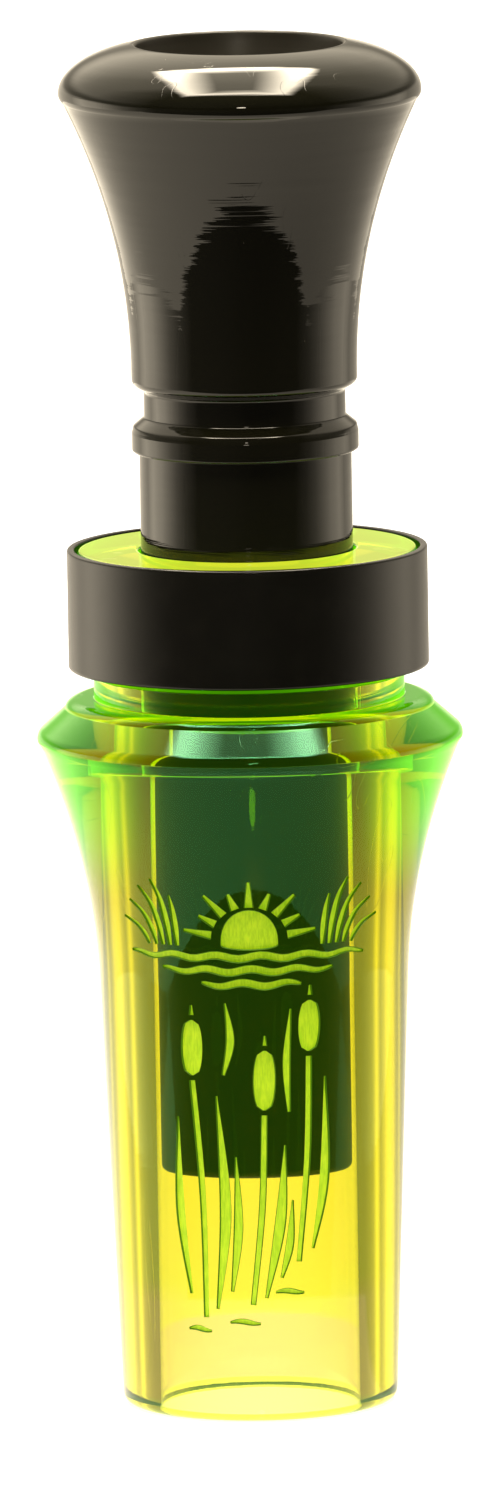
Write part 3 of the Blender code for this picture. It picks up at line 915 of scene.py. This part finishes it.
def cattails():
    """Three cattails on long stems with narrow leaves between them."""
    paths = []
    stems = (
        (-4.9, 7.4, -5.6, 29.3, 5.0),
        (-0.2, 8.6, 1.1, 26.2, 5.4),
        (4.3, 12.4, 5.3, 31.4, 4.6),
    )
    for foot, bottom, head, head_bottom, head_length in stems:
        bow = 0.35
        middle = (foot + head) / 2 + bow
        stem = [(foot, bottom, 0.20), (middle, (bottom + head_bottom) / 2, 0.24)]
        stem.append((head, head_bottom - 0.45, 0.22))
        paths.append(smooth_path(stem, steps=14))
        seed = []
        count = 14
        for i in range(count + 1):
            share = i / count
            swell = 0.12 + 0.66 * math.sin(math.pi * share) ** 0.32
            seed.append((head + 0.10 * share, head_bottom + head_length * share, swell))
        paths.append(seed)
        spike = head_bottom + head_length + 0.45
        paths.append([(head + 0.12, spike + 0.30 * k, 0.17 - 0.03 * k) for k in range(4)])
    leaves = (
        ((-6.4, 9.5), (-7.3, 17.0), (-7.2, 25.5), 0.36),
        ((-3.7, 8.2), (-2.7, 17.0), (-3.3, 27.5), 0.42),
        ((-2.2, 9.8), (-1.5, 15.5), (-1.6, 22.0), 0.34),
        ((1.1, 9.2), (2.5, 16.0), (3.0, 23.0), 0.40),
        ((2.6, 11.0), (3.4, 14.0), (3.7, 18.0), 0.30),
        ((5.7, 13.5), (6.9, 20.0), (6.9, 29.0), 0.38),
        ((-2.6, 29.4), (-1.9, 32.5), (-2.3, 35.9), 0.30),
        ((3.4, 26.0), (3.2, 30.5), (3.6, 35.3), 0.28),
    )
    for (foot, bottom), (bend, middle), (tip, top), half in leaves:
        paths.append(smooth_path([(foot, bottom, 0.12), (bend, middle, half), (tip, top, 0.07)], steps=16))
    for across, height, length in ((-5.6, 6.3, 2.4), (-1.0, 7.0, 3.0), (3.4, 9.7, 2.8)):
        count = 12
        mark = []
        for k in range(count + 1):
            share = k / count
            half = 0.08 + 0.12 * math.sin(math.pi * share)
            mark.append((across - length / 2 + length * share, height + 0.12 * math.sin(5 * share), half))
        paths.append(mark)
    return paths


def engraving_cutter(finish):
    """All of the engraving's grooves, as one object to cut with."""
    bm = bmesh.new()
    add_groove(bm, half_sun(), upright=True)
    for path in sun_rays_and_marsh() + cattails():
        add_groove(bm, path)
    return finished("engraving_cutter", bm, finish)


# --- Tone board, reeds and wedge ----------------------------------------------------------------


def table_height(height):
    """The y of the tone board's curved table at a height."""
    share = max(0.0, (TENON_END - height) / (TENON_END - BOARD_TIP))
    return TABLE_Y - TABLE_DROP * share**2


def make_tone_board():
    """The moulded tone board: a plug with the reed slot, and a trough with a curved table."""
    finish = black_moulded()
    overrun = 1.0 * MM
    board_top = TENON_END - BOARD_SHOULDER_GAP
    board = rod("moulded_board", BOARD_RADIUS, BOARD_TIP, board_top, finish, BOARD_TIP_BEVEL)
    plug = rod("plug_blank", PLUG_RADIUS, TENON_END - 2 * overrun, PLUG_TOP, finish)
    combined(board, "UNION", plug)
    steps = 40
    bottom = BOARD_TIP - overrun
    profile = []
    for i in range(steps + 1):
        height = bottom + (TENON_END - bottom) * i / steps
        profile.append((table_height(height), height))
    wide = BOARD_RADIUS + overrun
    profile += [(wide, TENON_END), (wide, bottom)]
    above = extruded("above_table", profile, -wide, wide, finish)
    slot = extruded(
        "reed_slot",
        [
            (TABLE_Y, TENON_END - overrun),
            (TABLE_Y, SLOT_END),
            (SLOT_TOP_Y, SLOT_END),
            (SLOT_TOP_Y, TENON_END - overrun),
        ],
        -SLOT_WIDTH / 2,
        SLOT_WIDTH / 2,
        finish,
    )
    combined(board, "DIFFERENCE", above, slot, channel_cutter(finish))
    stand_for(bevelled(board, 0.06 * MM, segments=2), "tone_board", "insert")


def channel_cutter(finish):
    """The tone channel's shape: a U section along Z with a round floor."""
    half = CHANNEL_WIDTH / 2
    floor_centre = TABLE_Y - CHANNEL_DEPTH + half
    top = 0.1 * MM + TABLE_Y
    section = [(-half, top)]
    section += arc((0, floor_centre), (half, half), 180, 360, 24)
    section.append((half, top))
    bm = bmesh.new()
    face = bm.faces.new([bm.verts.new((x, y, CHANNEL_TIP)) for x, y in section])
    moved = bmesh.ops.extrude_face_region(bm, geom=[face])
    verts = [v for v in moved["geom"] if isinstance(v, bmesh.types.BMVert)]
    bmesh.ops.translate(bm, verts=verts, vec=(0, 0, PLUG_TOP + 1.0 * MM - CHANNEL_TIP))
    return finished("tone_channel", bm, finish)


def make_reed(name, node, finish, dimple=False):
    """A reed cut from film, with a round tip; the dimple is pressed right through it."""
    low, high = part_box(node)
    half = high.x
    tip, tail, top_y = low.z, high.z, high.y
    outline = [(-half, tail), (half, tail)]
    outline += arc((half - REED_CORNER, tip + REED_CORNER), (REED_CORNER,) * 2, 0, -90, 20)
    outline += arc((-half + REED_CORNER, tip + REED_CORNER), (REED_CORNER,) * 2, -90, -180, 20)
    reed = extruded(name, outline, top_y - REED_THICKNESS, top_y, finish, plane="XZ")
    if dimple:
        depth = top_y - REED_THICKNESS - low.y
        bump = dome("dimple", depth, (0, top_y - REED_THICKNESS, tip + DIMPLE_FROM_TIP), finish)
        hollow = dome("hollow", depth, (0, top_y, tip + DIMPLE_FROM_TIP), finish)
        combined(reed, "UNION", bump)
        combined(reed, "DIFFERENCE", hollow)
    stand_for(bevelled(reed, 0.03 * MM, segments=2), node, node)


def dome(name, depth, location, finish):
    """A squashed ball of the dimple's radius."""
    bm = bmesh.new()
    bmesh.ops.create_uvsphere(bm, u_segments=32, v_segments=16, radius=DIMPLE_RADIUS)
    bmesh.ops.scale(bm, verts=bm.verts, vec=(1, depth / DIMPLE_RADIUS, 1))
    bmesh.ops.translate(bm, verts=bm.verts, vec=location)
    return finished(name, bm, finish)


def make_wedge():
    """The cork wedge, thinner towards its top."""
    low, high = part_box("reed_wedge")
    thin = high.y - WEDGE_TAPER
    profile = [(low.y, low.z), (high.y, low.z), (thin, high.z), (low.y, high.z)]
    wedge = extruded("cork_wedge", profile, low.x, high.x, cork())
    stand_for(bevelled(wedge, 0.3 * MM, segments=4), "reed_wedge", "reed_wedge")


# --- Stage --------------------------------------------------------------------------------------


def seen_straight(n):
    """1 for rays that come from the camera straight or through clear pieces, without a reflection."""
    path = n.add("ShaderNodeLightPath").outputs
    unreflected = n.math("LESS_THAN", path["Glossy Depth"], 0.5)
    through = n.math("MULTIPLY", path["Is Transmission Ray"], unreflected)
    return n.math("MAXIMUM", path["Is Camera Ray"], through)


def make_floor():
    """A wide white floor. The gloss shows only a bright half disc of it, in front of the call's axis.

    Seen straight through clear pieces it is as bright as the world, with a painted ring of bluer light on the
    floor round the foot.
    """
    bm = bmesh.new()
    bmesh.ops.create_grid(bm, x_segments=2, y_segments=2, size=FLOOR_SIZE)
    n = new_material("floor")
    n.set(Base_Color=(0.30, 0.33, 0.38, 1), Roughness=0.9, Specular_IOR_Level=0.2)
    n.set(Emission_Color=(1, 1, 1, 1), Emission_Strength=FLOOR_GLOW)
    x, y, _ = n.split(n.add("ShaderNodeTexCoord").outputs["Object"])
    reach = n.reach(x, y)
    riser = n.emission((*WARM, 1), RISER_LEVEL)
    beyond = n.add("ShaderNodeBsdfTransparent").outputs[0]
    near = n.step(reach, RISER_RADIUS + RISER_SOFTNESS, RISER_RADIUS - RISER_SOFTNESS)
    on_riser = n.math("MULTIPLY", near, n.step(y, 0.0, -RISER_BACK_SOFTNESS))
    reflected = n.either(on_riser, beyond, riser)
    # painted light: a ring of bluer light on the floor round the foot, outside the bore, seen only through
    # clear pieces
    by_foot = n.step(reach, FOOT_ZONE_RADIUS + FOOT_ZONE_SOFTNESS, FOOT_ZONE_RADIUS - FOOT_ZONE_SOFTNESS)
    outside_bore = n.step(reach, BORE_RADIUS, BORE_RADIUS + FOOT_ZONE_INNER_SOFTNESS)
    by_foot = n.math("MULTIPLY", by_foot, outside_bore)
    through = n.emission(n.mix(by_foot, (*WARM, 1), FOOT_ZONE_COLOUR), BACKGROUND_LEVEL)
    unseen = n.either(seen_straight(n), reflected, through)
    direct = n.add("ShaderNodeLightPath").outputs["Is Camera Ray"]
    n.feed(n.output.inputs["Surface"], n.either(direct, unseen, n.shader.outputs[0]))
    floor = finished("floor", bm, n.block)
    floor.location.z = -FLOOR_DROP


def sheet(name, corners, finish):
    """A flat sheet that only glossy surfaces show."""
    bm = bmesh.new()
    bm.faces.new([bm.verts.new(corner) for corner in corners])
    finish.cycles.emission_sampling = "NONE"
    obj = finished(name, bm, finish)
    obj.visible_camera = False
    obj.visible_diffuse = False
    obj.visible_transmission = False
    obj.visible_shadow = False


def make_table_top():
    """The table far below, whose front edge draws the dark arches on the turned pieces."""
    wide, front, back, depth = TABLE_HALF_WIDTH, TABLE_FRONT, TABLE_BACK, -TABLE_DEPTH
    n = new_material("table_top")
    x, y, _ = n.split(n.add("ShaderNodeTexCoord").outputs["Object"])
    share = n.add("ShaderNodeMapRange", {"Value": y, "From Min": front, "From Max": back}).outputs["Result"]
    left, right = [gain * LEVEL_TOP for gain in TABLE_SIDE_GAINS]
    side = n.step(x, -SIDE_BLEND, SIDE_BLEND, left, right)
    strength = n.math("MULTIPLY", n.levels(share, 1.0, TABLE_LEVELS), side)
    n.feed(n.output.inputs["Surface"], n.emission((*WARM, 1), strength))
    corners = ((-wide, front, depth), (wide, front, depth), (wide, back, depth), (-wide, back, depth))
    sheet("table_top", corners, n.block)


def softbox(n, x, y, z):
    """The softbox's level in a direction, with its shape laid out on a level plane."""
    left, right, front, back = SOFTBOX
    rise = n.math("MAXIMUM", z, SOFTBOX_LOWEST_RISE)
    deep = n.math("DIVIDE", y, rise)
    taper = n.math("MULTIPLY_ADD", n.math("SUBTRACT", deep, SOFTBOX_TAPER_CENTRE), SOFTBOX_TAPER, 1.0)
    across = n.math("MULTIPLY", n.math("DIVIDE", x, rise), taper)
    inside = n.math(
        "MINIMUM",
        n.math("MINIMUM", n.math("SUBTRACT", across, left), n.math("SUBTRACT", right, across)),
        n.math("MINIMUM", n.math("SUBTRACT", deep, front), n.math("SUBTRACT", back, deep)),
    )
    level = n.levels(n.step(inside, *SOFTBOX_BORDER), 1.0, SOFTBOX_PROFILE)
    return n.mix(n.step(z, *SOFTBOX_RISE), (0, 0, 0, 1), level)


def make_world():
    """A soft studio: bright all round the back, dark towards the front, and a wide softbox above."""
    world = bpy.data.worlds.new("studio")
    bpy.context.scene.world = world
    n = Nodes(world)
    x, y, z = n.split(n.add("ShaderNodeTexCoord").outputs["Generated"])
    azimuth = n.math("DIVIDE", n.math("ARCTAN2", n.math("ABSOLUTE", x), n.math("MULTIPLY", y, -1.0)), math.pi)
    low_level = n.levels(azimuth, 180, LOW_LEVELS)
    mid_level = n.levels(azimuth, 180, MID_LEVELS)
    around = n.mix(n.step(z, *MID_RISE), low_level, mid_level)
    around = n.math("MULTIPLY", around, n.step(x, -SIDE_BLEND, SIDE_BLEND, *SIDE_GAINS))
    around = n.math("MULTIPLY", around, n.step(z, *HIGH_RISE, 1.0, HIGH_GAIN))
    # light that was reflected inside the clear acrylic comes out to a plainer surround
    inner = n.add("ShaderNodeLightPath").outputs["Is Transmission Ray"]
    around = n.mix(inner, around, n.levels(azimuth, 180, THROUGH_LEVELS))
    level = n.math("MULTIPLY", n.math("MAXIMUM", around, softbox(n, x, y, z)), LEVEL_TOP)

    # a small lamp above the camera, for the glints
    lamp = Vector((math.sin(LAMP_AZIMUTH), -math.cos(LAMP_AZIMUTH), math.tan(LAMP_ELEVATION))).normalized()
    facing = n.add("ShaderNodeVectorMath", {1: lamp}, operation="DOT_PRODUCT")
    n.feed(facing.inputs[0], n.add("ShaderNodeTexCoord").outputs["Generated"])
    dark, lit = math.cos(LAMP_SIZE * LAMP_SOFTNESS), math.cos(LAMP_SIZE)
    level = n.math("ADD", level, n.step(facing.outputs["Value"], dark, lit, 0.0, LAMP_LEVEL))

    seen = seen_straight(n)
    background = n.tree.nodes["Background"]
    n.feed(background.inputs["Color"], (*WARM, 1))
    both = n.add("ShaderNodeMix", {"Factor": seen, "A": level, "B": BACKGROUND_LEVEL})
    n.feed(background.inputs["Strength"], both.outputs["Result"])


def make_camera():
    """A long lens at the photo's angle, rolled a little as the photo is."""
    target = Vector(CAMERA_TARGET)
    data = bpy.data.cameras.new("camera")
    data.lens = CAMERA_LENS
    data.sensor_width = CAMERA_SENSOR
    data.clip_start = 0.1
    data.clip_end = 20
    camera = bpy.data.objects.new("camera", data)
    bpy.context.scene.collection.objects.link(camera)
    back = Vector((0, -math.cos(CAMERA_ELEVATION), math.sin(CAMERA_ELEVATION)))
    camera.location = target + back * CAMERA_DISTANCE
    level = (-back).to_track_quat("-Z", "Y").to_matrix().to_4x4()
    roll = Matrix.Rotation(CAMERA_ROLL, 4, "Z")
    camera.matrix_world = Matrix.Translation(camera.location) @ level @ roll
    bpy.context.scene.camera = camera


make_camera()
make_barrel()
make_band()
make_stopper()
make_o_ring()
make_tone_board()
film = reed_film()
make_reed("film_lower_reed", "lower_reed", film)
make_reed("film_upper_reed", "upper_reed", film, dimple=True)
make_wedge()
make_floor()
make_table_top()
make_world()
bpy.context.scene.view_settings.view_transform = "Standard"
